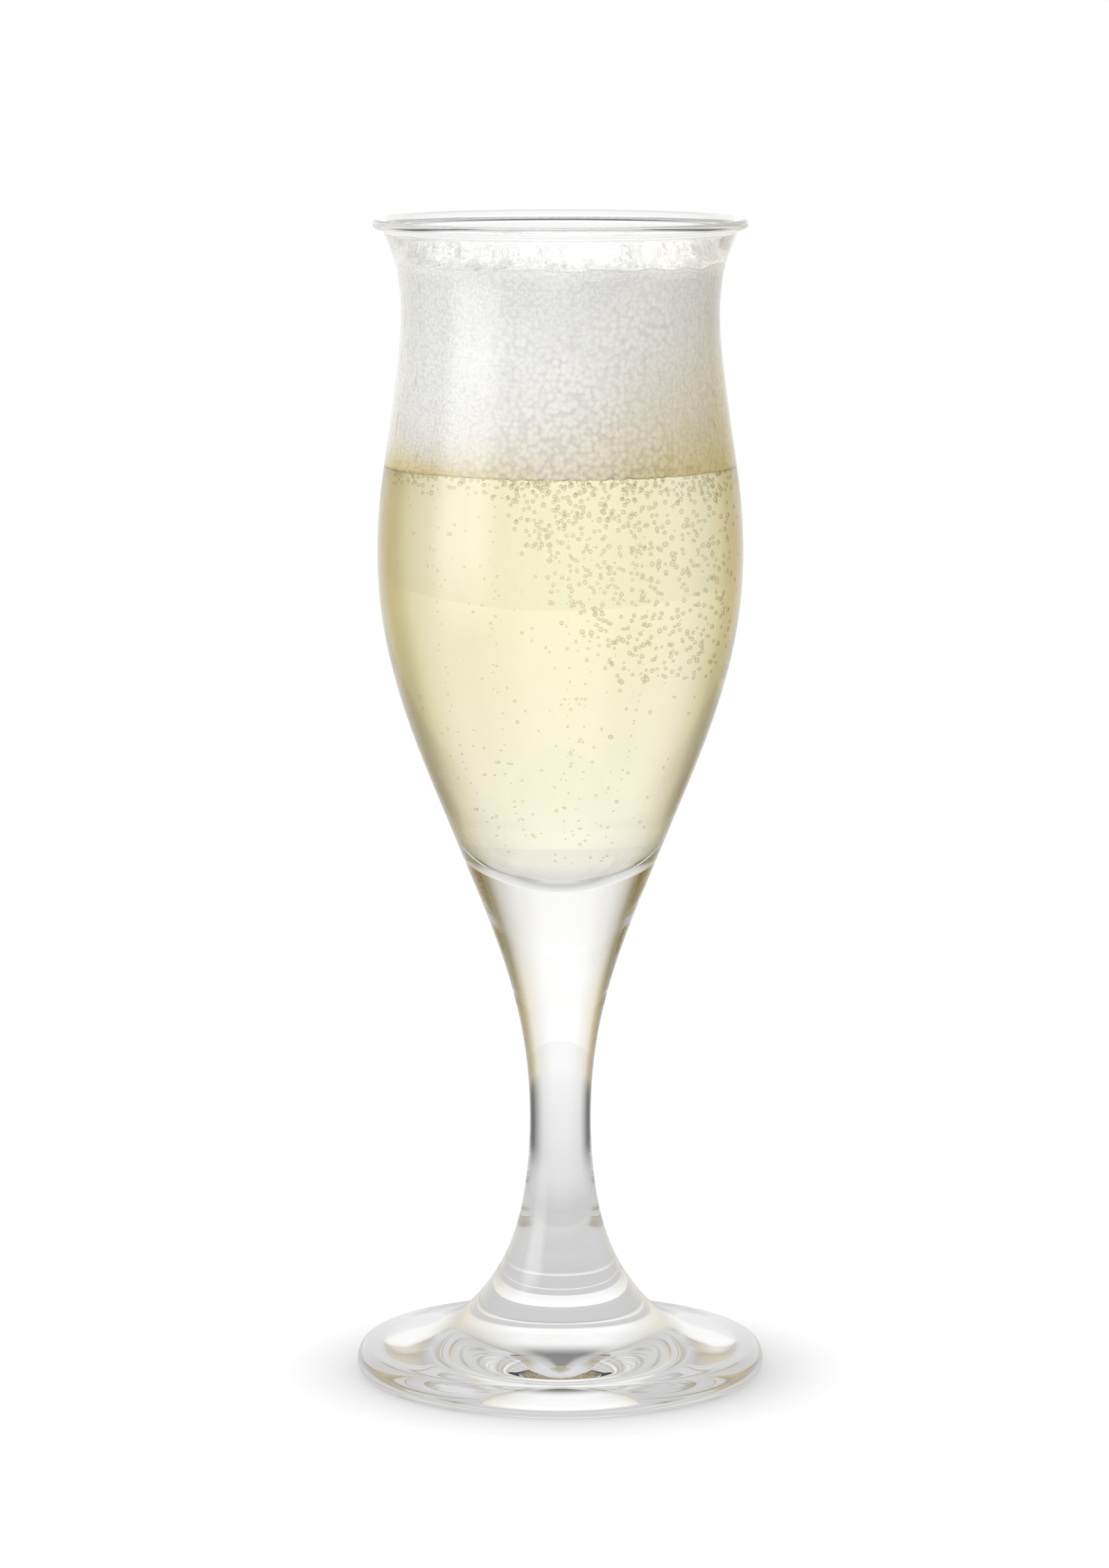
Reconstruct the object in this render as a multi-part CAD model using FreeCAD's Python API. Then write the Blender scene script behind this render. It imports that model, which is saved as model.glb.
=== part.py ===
"""Stemmed glass of sparkling wine: a tulip bowl on a solid drawn stem and a round foot, the wine in it, and its head of foam.

Millimetres, +Z up. The origin is the centre of the foot's underside, on the surface that the glass stands on.
Every profile is drawn in the XZ plane, X being the radius, and turned about Z. Each solid is written to parts/.
"""

import FreeCAD
import Part
import math
import os

Vector = FreeCAD.Vector
ORIGIN = Vector(0, 0, 0)
UP = Vector(0, 0, 1)
OUTWARD = Vector(1, 0, 0)

# Overall sizes
GLASS_HEIGHT = 195.0
FOOT_RADIUS = 34.4
RIM_RADIUS = 31.1

# Bowl, outside: widest at the belly, drawn in at the waist, flared out again to the rim
BELLY_RADIUS = 30.5
BELLY_HEIGHT = 140.5
WAIST_RADIUS = 26.45
WAIST_HEIGHT = 179.0

# Rim: a fire-polished bead on a thin flared lip
RIM_BEAD = 1.75
LIP_LENGTH = 3.0
LIP_INSET = 2.15
LIP_FLARE = 22.5
BEAD_INNER_ANGLE = 150.0

# Solid stem, at its narrowest
STEM_RADIUS = 5.2
STEM_HEIGHT = 46.0

# Foot: a rounded edge and a gentle slope that sweeps up into the stem
FOOT_EDGE_HEIGHT = 5.1
FOOT_EDGE_INSET = 1.8
FOOT_WIDEST_HEIGHT = 2.2
FOOT_SLOPE = 9.0
FLARE_RADIUS = 13.4
FLARE_HEIGHT = 13.6

# Foot, underneath: a flat ring that it rests on, round a shallow hollow
REST_RING_INSET = 1.4
REST_RING_WIDTH = 4.0
HOLLOW_DEPTH = 1.6

# Walls of the bowl, and its rounded floor
LIP_WALL = 1.15
BELLY_WALL = 1.5
FLOOR_HEIGHT = 85.0
FLOOR_FULLNESS = 8.0

# Drink: the wine's level, and the foam's mean top with its crown and swells
WINE_LEVEL = 154.5
FOAM_TOP = 188.6
FOAM_CROWN = 0.5
FOAM_SWELL = 0.3
FOAM_SWELL_LENGTH = 19.0

# Points of each curve between two of the sizes above, as shares of its height and of its radius
SLOPE_TO_FLARE = [(0.20, 0.396), (0.365, 0.656), (0.62, 0.84)]
FLARE_TO_STEM = [(0.16, 0.422), (0.385, 0.763), (0.60, 0.9236)]
STEM_TO_BELLY = [(0.09, 0.0244), (0.24, 0.147), (0.39, 0.3513), (0.54, 0.5809), (0.69, 0.7983), (0.84, 0.9488)]
BELLY_TO_WAIST = [(0.235, 0.145), (0.525, 0.5254), (0.805, 0.8681)]
WAIST_TO_LIP = [(0.39, 0.118), (0.68, 0.39)]

# How finely the curves that follow a formula are sampled
FLOOR_SAMPLES = 12
WALL_SAMPLES = 6
SWELL_SAMPLES = 15
BISECTIONS = 40
SHORTEST_EDGE = 0.001


def point(radius, height):
    """A point of a profile."""
    return Vector(radius, 0, height)


def heading(degrees):
    """A direction in the profile's plane: 0 points outward and 90 up."""
    angle = math.radians(degrees)
    return Vector(math.cos(angle), 0, math.sin(angle))


def between(start, end, shares):
    """The points of a curve between two points, from their shares of the height and the radius."""
    run = end - start
    return [point(start.x + radius * run.x, start.z + height * run.z) for height, radius in shares]


def smooth(points, start_heading, end_heading):
    """A smooth curve through points, with a unit direction at each end. It is measured off by their distances."""
    curve = Part.BSplineCurve()
    curve.interpolate(Points=points, InitialTangent=start_heading, FinalTangent=end_heading, Scale=False)
    return curve


def parameter_at(curve, height):
    """The parameter where a curve that keeps rising reaches a height."""
    low, high = curve.FirstParameter, curve.LastParameter
    for _ in range(BISECTIONS):
        middle = (low + high) / 2
        if curve.value(middle).z < height:
            low = middle
        else:
            high = middle
    return (low + high) / 2


def radius_at(curve, height):
    return curve.value(parameter_at(curve, height)).x


def bead_centre():
    return point(RIM_RADIUS - RIM_BEAD / 2, GLASS_HEIGHT - RIM_BEAD / 2)


def on_bead(degrees):
    return bead_centre() + heading(degrees) * (RIM_BEAD / 2)


def lip_root():
    """Where the outside of the bowl ends, under the rim's bead."""
    return point(RIM_RADIUS - LIP_INSET, GLASS_HEIGHT - LIP_LENGTH)


def lip_heading():
    return heading(90 - LIP_FLARE)


def outer_curve():
    """The outside of the glass, from the top of the foot's edge up to the lip."""
    edge = point(FOOT_RADIUS - FOOT_EDGE_INSET, FOOT_EDGE_HEIGHT)
    flare = point(FLARE_RADIUS, FLARE_HEIGHT)
    stem = point(STEM_RADIUS, STEM_HEIGHT)
    belly = point(BELLY_RADIUS, BELLY_HEIGHT)
    waist = point(WAIST_RADIUS, WAIST_HEIGHT)
    points = [edge]
    points += between(edge, flare, SLOPE_TO_FLARE) + [flare]
    points += between(flare, stem, FLARE_TO_STEM) + [stem]
    points += between(stem, belly, STEM_TO_BELLY) + [belly]
    points += between(belly, waist, BELLY_TO_WAIST) + [waist]
    points += between(waist, lip_root(), WAIST_TO_LIP) + [lip_root()]
    return smooth(points, heading(180 - FOOT_SLOPE), lip_heading())


def wall_at(height):
    """The thickness of the bowl's wall: even below the belly, and thinner towards the lip."""
    share = (height - BELLY_HEIGHT) / (lip_root().z - BELLY_HEIGHT)
    return BELLY_WALL + (LIP_WALL - BELLY_WALL) * min(max(share, 0), 1)


def inner_point(outer, height):
    """A point of the bowl's inside, which rounds off to the floor as the foot of the wall thickens."""
    depth = min((height - FLOOR_HEIGHT) / (BELLY_HEIGHT - FLOOR_HEIGHT), 1)
    fullness = math.sqrt(1 - (1 - depth) ** FLOOR_FULLNESS)
    return point((radius_at(outer, height) - wall_at(height)) * fullness, height)


def inner_curve(outer):
    """The inside of the bowl, from its floor on the axis up to the rim's bead."""
    points = [point(0, FLOOR_HEIGHT)]
    for i in range(1, FLOOR_SAMPLES + 1):
        height = FLOOR_HEIGHT + (BELLY_HEIGHT - FLOOR_HEIGHT) * (i / FLOOR_SAMPLES) ** 2
        points.append(inner_point(outer, height))
    for i in range(1, WALL_SAMPLES + 1):
        height = BELLY_HEIGHT + (lip_root().z - RIM_BEAD - BELLY_HEIGHT) * i / WALL_SAMPLES
        points.append(inner_point(outer, height))
    points.append(on_bead(BEAD_INNER_ANGLE))
    return smooth(points, OUTWARD, heading(BEAD_INNER_ANGLE - 90))


def lip_edges():
    """The lip's last straight, the hollow under the bead, and the bead itself, over the rim to its inside."""
    root, bottom = lip_root(), on_bead(-90)
    corner = root + lip_heading() * ((bottom.z - root.z) / lip_heading().z)
    reach = min((corner - root).Length, (bottom - corner).Length)
    start = corner - lip_heading() * reach
    end = corner + OUTWARD * reach
    half_turn = math.radians(90 - LIP_FLARE) / 2
    to_corner = heading(90 + math.degrees(half_turn))
    radius = reach / math.tan(half_turn)
    middle = corner - to_corner * (radius / math.cos(half_turn) - radius)
    bead = Part.Arc(bottom, on_bead(0), on_bead(BEAD_INNER_ANGLE))
    edges = [Part.Arc(start, middle, end).toShape(), bead.toShape()]
    for straight_start, straight_end in ((root, start), (end, bottom)):
        if (straight_end - straight_start).Length > SHORTEST_EDGE:
            edges.append(Part.LineSegment(straight_start, straight_end).toShape())
    return edges


def foot_edges():
    """The foot's rounded edge, the ring that it rests on, and the hollow under it up to the axis."""
    edge = point(FOOT_RADIUS - FOOT_EDGE_INSET, FOOT_EDGE_HEIGHT)
    widest = point(FOOT_RADIUS, FOOT_WIDEST_HEIGHT)
    ring_outside = point(FOOT_RADIUS - REST_RING_INSET, 0)
    ring_inside = ring_outside - OUTWARD * REST_RING_WIDTH
    top = point(0, HOLLOW_DEPTH)
    upper = smooth([edge, widest], heading(-FOOT_SLOPE), -UP)
    lower = smooth([widest, ring_outside], -UP, -OUTWARD)
    ring = Part.LineSegment(ring_outside, ring_inside)
    sphere_radius = (ring_inside.x**2 + HOLLOW_DEPTH**2) / (2 * HOLLOW_DEPTH)
    half_way = ring_inside.x / 2
    middle_height = HOLLOW_DEPTH - sphere_radius + math.sqrt(sphere_radius**2 - half_way**2)
    hollow = Part.Arc(ring_inside, point(half_way, middle_height), top)
    return [upper.toShape(), lower.toShape(), ring.toShape(), hollow.toShape()]


def turned(edges):
    """The solid that a closed profile makes when it is turned about Z."""
    face = Part.Face(Part.Wire(Part.__sortEdges__(edges)))
    return face.revolve(ORIGIN, UP, 360)


def glass(outer, inner):
    axis = Part.LineSegment(point(0, HOLLOW_DEPTH), point(0, FLOOR_HEIGHT))
    return turned([axis.toShape(), inner.toShape(), outer.toShape()] + lip_edges() + foot_edges())


def filling(inner, bottom, top):
    """What fills the bowl between two level planes, right up to its inner wall."""
    start, end = parameter_at(inner, bottom), parameter_at(inner, top)
    wall = inner.toShape(start, end)
    edges = [wall, Part.LineSegment(inner.value(end), point(0, top)).toShape()]
    edges.append(Part.LineSegment(point(0, top), point(0, bottom)).toShape())
    if bottom > FLOOR_HEIGHT:
        edges.append(Part.LineSegment(point(0, bottom), inner.value(start)).toShape())
    return turned(edges)


def foam_height(x, y):
    """The foam's upper surface: a low crown with slow swells."""
    crown = FOAM_CROWN * (1 - (x**2 + y**2) / WAIST_RADIUS**2)
    turn = 2 * math.pi / FOAM_SWELL_LENGTH
    return FOAM_TOP + crown + FOAM_SWELL * math.sin(turn * x) * math.cos(turn * y)


def above_foam():
    """The space over the foam's surface, to cut away."""
    half = RIM_RADIUS
    steps = [half * (2 * i / (SWELL_SAMPLES - 1) - 1) for i in range(SWELL_SAMPLES)]
    surface = Part.BSplineSurface()
    surface.interpolate([[Vector(x, y, foam_height(x, y)) for y in steps] for x in steps])
    return surface.toShape().extrude(UP * GLASS_HEIGHT)


def foam(inner):
    highest = FOAM_TOP + FOAM_CROWN + FOAM_SWELL
    return filling(inner, WINE_LEVEL, highest).cut(above_foam())


def main():
    os.makedirs("parts", exist_ok=True)
    outer = outer_curve()
    inner = inner_curve(outer)
    nodes = {
        "glass": glass(outer, inner),
        "wine": filling(inner, FLOOR_HEIGHT, WINE_LEVEL),
        "foam": foam(inner),
    }
    for name, shape in nodes.items():
        solid = shape.Solids[0]
        solid.exportStep(f"parts/{name}.step")
        print(name, len(shape.Solids), "solid", solid.isValid(), round(solid.Volume / 1000, 1), "ml")


main()
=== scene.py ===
# %% [markdown]
# # A stemmed glass of sparkling wine
# This lesson builds the looks of a filled tulip glass: the clear glass itself, the pale wine in it, the
# head of foam, and the bubbles that rise through the wine and cling to the wall. Every size comes from
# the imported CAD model, so each piece lands where the model says, in metres, with +Z up and the foot on
# the floor at z = 0.

# %% Load the frame
import math
import random

import bmesh
import bpy
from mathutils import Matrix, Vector


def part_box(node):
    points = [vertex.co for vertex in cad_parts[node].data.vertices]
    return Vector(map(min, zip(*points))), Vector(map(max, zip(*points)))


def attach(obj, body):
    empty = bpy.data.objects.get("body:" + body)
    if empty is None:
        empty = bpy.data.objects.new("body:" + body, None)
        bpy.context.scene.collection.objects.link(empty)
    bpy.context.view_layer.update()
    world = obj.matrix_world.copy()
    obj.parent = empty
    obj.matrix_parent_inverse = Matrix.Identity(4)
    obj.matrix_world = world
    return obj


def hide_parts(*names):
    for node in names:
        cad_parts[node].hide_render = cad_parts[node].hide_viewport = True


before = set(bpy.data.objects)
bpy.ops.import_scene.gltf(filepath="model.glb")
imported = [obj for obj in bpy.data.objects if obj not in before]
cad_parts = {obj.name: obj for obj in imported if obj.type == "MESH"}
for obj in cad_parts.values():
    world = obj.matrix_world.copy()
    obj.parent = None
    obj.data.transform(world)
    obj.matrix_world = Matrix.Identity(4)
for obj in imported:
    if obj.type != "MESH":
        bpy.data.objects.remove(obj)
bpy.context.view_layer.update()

MM = 0.001

# %% [markdown]
# ## Small helpers
# Node trees, for materials and for geometry alike, are made by one function that adds a node with its
# settings and its links, and a second one for arithmetic. Colours are written as the sRGB hex values that
# one would read off a swatch, and turned to the linear values that the renderer works in. A Map Range node
# that is eased runs in and out softly instead of straight.

# %% Helpers for nodes and colours
def add(tree, kind, inputs=(), **settings):
    """Add a node. inputs maps its sockets, by name or number, to a value or to another node's output."""
    node = tree.nodes.new(kind)
    for name, value in settings.items():
        setattr(node, name, value)
    for socket, value in dict(inputs).items():
        if isinstance(value, bpy.types.NodeSocket):
            tree.links.new(value, node.inputs[socket])
        else:
            node.inputs[socket].default_value = value
    return node


def maths(tree, operation, *values, **settings):
    """The output of a math node on one to three values or outputs."""
    inputs = dict(enumerate(values))
    return add(tree, "ShaderNodeMath", inputs, operation=operation, **settings).outputs[0]


EASED = {"interpolation_type": "SMOOTHSTEP"}


def srgb(swatch):
    """The linear colour of an sRGB hex swatch such as #ffffff."""
    parts = [int(swatch[i:i + 2], 16) / 255 for i in (1, 3, 5)]
    linear = [p / 12.92 if p <= 0.04045 else ((p + 0.055) / 1.055) ** 2.4 for p in parts]
    return (*linear, 1.0)


def new_material(name):
    """An empty material, its node tree and its output node."""
    material = bpy.data.materials.new(name)
    material.use_nodes = True
    material.node_tree.nodes.clear()
    output = add(material.node_tree, "ShaderNodeOutputMaterial")
    return material, material.node_tree, output


def ramp(tree, share, stops):
    """The colour of a ramp at a share from 0 to 1, through stops of (position, colour)."""
    node = add(tree, "ShaderNodeValToRGB", {"Fac": share})
    elements = node.color_ramp.elements
    while len(elements) < len(stops):
        elements.new(0.5)
    for element, (position, colour) in zip(elements, stops):
        element.position = position
        element.color = colour
    return node.outputs["Color"]

# %% [markdown]
# ## The camera
# The glass is seen from a little above its rim, from about a metre away with a long lens, so its sides
# stay nearly parallel. The camera looks down on the foot by 14 degrees and on the rim by only 3.

# %% Camera
CAMERA_DISTANCE = 0.96867
CAMERA_HEIGHT = 0.24374
CAMERA_SIDE = -0.00098
CAMERA_PITCH = 8.41
LENS = 134.2
SENSOR_WIDTH = 36

camera_data = bpy.data.cameras.new("camera")
camera_data.lens = LENS
camera_data.sensor_width = SENSOR_WIDTH
camera_data.dof.use_dof = False
camera = bpy.data.objects.new("camera", camera_data)
camera.location = (CAMERA_SIDE, -CAMERA_DISTANCE, CAMERA_HEIGHT)
camera.rotation_euler = (math.radians(90 - CAMERA_PITCH), 0, 0)
bpy.context.scene.collection.objects.link(camera)
bpy.context.scene.camera = camera
print("camera", [round(v, 3) for v in camera.location], "lens", LENS)

# %% [markdown]
# ## How far light is followed
# Inside thick glass, light is thrown back and forth many times before it leaves, and each total
# reflection counts as a glossy bounce. With too few bounces the foot and the lip would show black
# patches, so all three limits are raised together.

# %% Light paths
LIGHT_BOUNCES = 24
bpy.context.scene.view_settings.view_transform = "Standard"
bpy.context.scene.cycles.max_bounces = LIGHT_BOUNCES
bpy.context.scene.cycles.transmission_bounces = LIGHT_BOUNCES
bpy.context.scene.cycles.glossy_bounces = LIGHT_BOUNCES

# %% [markdown]
# ## The studio
# Clear glass has no colour of its own: it shows what is around it. Against a white ground its edges only
# show if something darker stands to the sides, so a glass photographer lights the ground behind and keeps
# the sides of the room dim. Here one rule gives the brightness of the surroundings from the angle away
# from the middle of the ground, alike to the left and the right but for a slight lean. There are four
# such rounds: close to the foot, far along the floor and low on the wall, higher on the wall, and
# overhead. The world and the floor use them, but only as the glass sees them: a camera ray meets plain
# white.

# %% Brightness by angle
DARK_LEAN = 0.05


def surroundings(tree, direction, stops):
    """The colour at an angle from straight behind, to either side, through stops of (degrees, swatch)."""
    parts = add(tree, "ShaderNodeSeparateXYZ", {0: direction})
    leaning = maths(tree, "MULTIPLY_ADD", parts.outputs["Y"], DARK_LEAN, parts.outputs["X"])
    across = maths(tree, "ABSOLUTE", leaning)
    angle = maths(tree, "ARCTAN2", across, parts.outputs["Y"])
    share = maths(tree, "DIVIDE", angle, math.pi)
    return ramp(tree, share, [(degrees / 180, srgb(swatch)) for degrees, swatch in stops])

# %% The four rounds
FAR_ROUND = (
    (0, "#ffffff"), (14, "#fefefd"), (26, "#f2efe8"), (35, "#e8e2cf"), (41, "#d0c9b1"), (50, "#c2b288"),
    (58, "#b8ac90"), (66, "#a8a6a0"), (84, "#c0c0c0"), (98, "#d0d0d0"), (114, "#b4b2ac"), (130, "#b2aa94"),
    (146, "#d8d6d0"), (166, "#f2f0ec"), (180, "#f4f4f4"),
)
HIGH_ROUND = (
    (0, "#f8f8f8"), (12, "#f6f6f6"), (26, "#e8e8e6"), (38, "#cfccc3"), (50, "#a69b82"), (60, "#a49c88"),
    (72, "#aeaeac"), (86, "#c6c6c6"), (98, "#cccccc"), (114, "#bebebc"), (130, "#aca696"), (150, "#d4d4d4"),
    (180, "#d8d8d8"),
)
TOP_ROUND = ((0, "#6a6a6a"), (18, "#6c6c6c"), (34, "#b4b4b4"), (90, "#d0d0d0"), (180, "#d8d8d8"))
NEAR_ROUND = (
    (0, "#ffffff"), (12, "#ffffff"), (25, "#f6f6f6"), (38, "#b6b6b6"), (50, "#6a6a6a"), (64, "#5c5c5a"),
    (80, "#c8c8c6"), (98, "#d4d4d2"), (118, "#7c7c78"), (136, "#7c7c78"), (156, "#e2e2e2"), (180, "#f4f4f4"),
)
print("stops round the glass", [len(r) for r in (NEAR_ROUND, FAR_ROUND, HIGH_ROUND, TOP_ROUND)])

# %% [markdown]
# ## The floor
# The camera sees a plain white board with a painted soft shadow round the foot, and near the glass its
# colour and faint glow are darkened by ambient occlusion as painted shade. Light that has come through the
# glass sees the board glow as the studio would light it, as painted light: white straight behind, dim at
# the sides, and with a painted shadow dimmer towards the foot. Close round the foot it is even all the way
# round. Light that a matt surface gathers gets some more from the board than the camera sees, as a big
# board throws light up from all sides.

# %% Floor board
GROUND_SIZE = 6.0
half = GROUND_SIZE / 2
floor_corners = [(-half, -half, 0), (half, -half, 0), (half, half, 0), (-half, half, 0)]
floor_mesh = bpy.data.meshes.new("floor")
floor_mesh.from_pydata(floor_corners, [], [(0, 1, 2, 3)])
floor = bpy.data.objects.new("floor", floor_mesh)
bpy.context.scene.collection.objects.link(floor)
foot_radius = max(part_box("glass")[1].x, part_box("glass")[1].y)
print("floor", GROUND_SIZE, "m wide, round a foot of radius mm", round(foot_radius / MM, 1))

# %% The floor as the camera sees it
GROUND_WHITE = 1.03
BOARD_PAINT = "#f6f6f6"
BOARD_GLOW = 0.05
NOOK_REACH, NOOK_DARKEST = 30 * MM, 0.05
WHITE_FROM, WHITE_TO, WHITE_LEAST = 0.06, 0.20, 0.80
SHADOW_INSET, SHADOW_REACH, SHADOW_DEPTH = 2 * MM, 24 * MM, 0.74
UPLIGHT = 1.30
material, tree, output = new_material("matt_white_board")
spot = add(tree, "ShaderNodeTexCoord").outputs["Object"]
out = add(tree, "ShaderNodeVectorMath", {0: spot}, operation="LENGTH").outputs["Value"]
ray = add(tree, "ShaderNodeLightPath")
# Painted shade: ambient occlusion darkens the board's colour and its faint glow near the glass.
nook = add(tree, "ShaderNodeAmbientOcclusion", {"Distance": NOOK_REACH}, samples=8)
shade = add(tree, "ShaderNodeMapRange", {"Value": nook.outputs["AO"], "To Min": NOOK_DARKEST})
shaded_paint = add(tree, "ShaderNodeVectorMath", {
    0: srgb(BOARD_PAINT)[:3], "Scale": shade.outputs[0],
}, operation="SCALE")
board = add(tree, "ShaderNodeBsdfPrincipled", {
    "Base Color": shaded_paint.outputs[0], "Roughness": 0.9, "Specular IOR Level": 0.1,
    "Emission Color": shaded_paint.outputs[0], "Emission Strength": BOARD_GLOW,
})
# Painted contact shadow: the white that the camera sees is dimmed in a soft ring round the foot.
painted_contact_shadow = add(tree, "ShaderNodeMapRange", {
    "Value": out, "From Min": foot_radius - SHADOW_INSET, "From Max": foot_radius + SHADOW_REACH,
    "To Min": SHADOW_DEPTH * GROUND_WHITE, "To Max": GROUND_WHITE,
}, **EASED)
undiffused = maths(tree, "LESS_THAN", ray.outputs["Diffuse Depth"], 0.5)
bounce = add(tree, "ShaderNodeMapRange", {"Value": undiffused, "To Min": UPLIGHT, "To Max": 1.0})
board_light = maths(tree, "MULTIPLY", painted_contact_shadow.outputs[0], bounce.outputs[0])
white = add(tree, "ShaderNodeEmission", {"Color": (1, 1, 1, 1), "Strength": board_light})
sweep = add(tree, "ShaderNodeMapRange", {
    "Value": out, "From Min": WHITE_FROM, "From Max": WHITE_TO, "To Min": WHITE_LEAST,
}, **EASED)
ground = add(tree, "ShaderNodeMixShader", {0: sweep.outputs[0], 1: board.outputs[0], 2: white.outputs[0]})
floor_mesh.materials.append(material)

# %% The floor as the glass sees it
NEAR_REACH, FAR_REACH = 0.30, 0.64
EVEN_REACH, UNEVEN_REACH = 0.055, 0.140
DIM_TO = 0.60
# Painted shadow: the floor's glow, as the glass sees it, is dimmer towards the foot, where the glass would
# shade it.
PAINTED_SHADE_NEAR_FOOT = (
    (0.0, 0.66), (0.034, 0.62), (0.055, 0.60), (0.090, 0.76), (0.170, 0.84), (0.300, 0.89), (DIM_TO, 0.97),
)
distance = add(tree, "ShaderNodeMapRange", {
    "Value": out, "From Min": NEAR_REACH, "From Max": FAR_REACH,
}, **EASED)
even = add(tree, "ShaderNodeMapRange", {
    "Value": out, "From Min": EVEN_REACH, "From Max": UNEVEN_REACH, "To Min": 1.0, "To Max": 0.0,
}, **EASED)
near = add(tree, "ShaderNodeMix", {
    0: even.outputs[0], 6: surroundings(tree, spot, NEAR_ROUND), 7: (1, 1, 1, 1),
}, data_type="RGBA")
bright = add(tree, "ShaderNodeMix", {
    0: distance.outputs[0], 6: near.outputs[2], 7: surroundings(tree, spot, FAR_ROUND),
}, data_type="RGBA")
outward = add(tree, "ShaderNodeMapRange", {"Value": out, "From Min": 0.0, "From Max": DIM_TO})
dim_stops = [(reach / DIM_TO, (level, level, level, 1)) for reach, level in PAINTED_SHADE_NEAR_FOOT]
dim = ramp(tree, outward.outputs[0], dim_stops)
glow = add(tree, "ShaderNodeEmission", {"Color": bright.outputs[2], "Strength": dim})

# %% Which floor a ray meets
UNDER_FOOT = 0.75
FOOT_INSIDE = 0.9
clear_of_foot = add(tree, "ShaderNodeMapRange", {
    "Value": out, "From Min": FOOT_INSIDE * foot_radius, "From Max": foot_radius, "To Min": UNDER_FOOT,
}, **EASED)
direct = maths(tree, "SUBTRACT", 1.0, ray.outputs["Is Camera Ray"])
by_glass = maths(tree, "MULTIPLY", direct, undiffused)
swap = maths(tree, "MULTIPLY", by_glass, clear_of_foot.outputs[0])
seen = add(tree, "ShaderNodeMixShader", {0: swap, 1: ground.outputs[0], 2: glow.outputs[0]})
tree.links.new(seen.outputs[0], output.inputs["Surface"])
print("floor nodes", len(tree.nodes))

# %% [markdown]
# ## The backdrop and the room
# The world is white to the camera, too. To the glass it is the dim-sided room: the far round near the
# horizon, the higher one above it, and the darker one overhead. To the foam, which is matt, the room is
# one broad soft light that is brighter at the left front.

# %% Backdrop and fill light
GLASS_WHITE = 1.05
ROOM_DIM, ROOM_BRIGHT = 0.70, 1.97
ROOM_LIGHT = Vector((-0.66, -0.62, 0.42)).normalized()
ROOM_AWAY, ROOM_TOWARDS = -0.35, 0.95
LOW, HIGH = 0.15, 0.35
CEILING_FROM, CEILING_TO = 0.50, 0.85
world = bpy.data.worlds.new("white_studio")
bpy.context.scene.world = world
world.use_nodes = True
sky = world.node_tree
sky.nodes.clear()
ray = add(sky, "ShaderNodeLightPath")
toward = add(sky, "ShaderNodeTexCoord").outputs["Generated"]
parts = add(sky, "ShaderNodeSeparateXYZ", {0: toward})
facing = add(sky, "ShaderNodeVectorMath", {0: toward, 1: ROOM_LIGHT}, operation="DOT_PRODUCT")
side = add(sky, "ShaderNodeMapRange", {
    "Value": facing.outputs["Value"], "From Min": ROOM_AWAY, "From Max": ROOM_TOWARDS,
    "To Min": ROOM_DIM, "To Max": ROOM_BRIGHT,
}, **EASED)
room = add(sky, "ShaderNodeBackground", {"Color": (1, 1, 1, 1), "Strength": side.outputs[0]})
lift = add(sky, "ShaderNodeMapRange", {
    "Value": parts.outputs["Z"], "From Min": LOW, "From Max": HIGH,
}, **EASED)
ceiling = add(sky, "ShaderNodeMapRange", {
    "Value": parts.outputs["Z"], "From Min": CEILING_FROM, "From Max": CEILING_TO,
}, **EASED)
walls = add(sky, "ShaderNodeMix", {
    0: lift.outputs[0], 6: surroundings(sky, toward, FAR_ROUND), 7: surroundings(sky, toward, HIGH_ROUND),
}, data_type="RGBA")
sides = add(sky, "ShaderNodeMix", {
    0: ceiling.outputs[0], 6: walls.outputs[2], 7: surroundings(sky, toward, TOP_ROUND),
}, data_type="RGBA")
round_glass = add(sky, "ShaderNodeBackground", {"Color": sides.outputs[2], "Strength": GLASS_WHITE})
backdrop = add(sky, "ShaderNodeBackground", {"Color": (1, 1, 1, 1), "Strength": GROUND_WHITE})
diffused = maths(sky, "GREATER_THAN", ray.outputs["Diffuse Depth"], 0.5)
lit = add(sky, "ShaderNodeMixShader", {0: diffused, 1: round_glass.outputs[0], 2: room.outputs[0]})
chosen = add(sky, "ShaderNodeMixShader", {
    0: ray.outputs["Is Camera Ray"], 1: lit.outputs[0], 2: backdrop.outputs[0],
})
add(sky, "ShaderNodeOutputWorld", {"Surface": chosen.outputs[0]})
print("world nodes", len(sky.nodes))

# %% [markdown]
# ## Soft panels
# One tall soft panel at the left front draws the long highlight down the bowl, and a weak one overhead
# gives the rim and the foot a little sheen. Each fades out towards its edges and only adds its light, so
# it never shows as a dark board itself.

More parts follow.
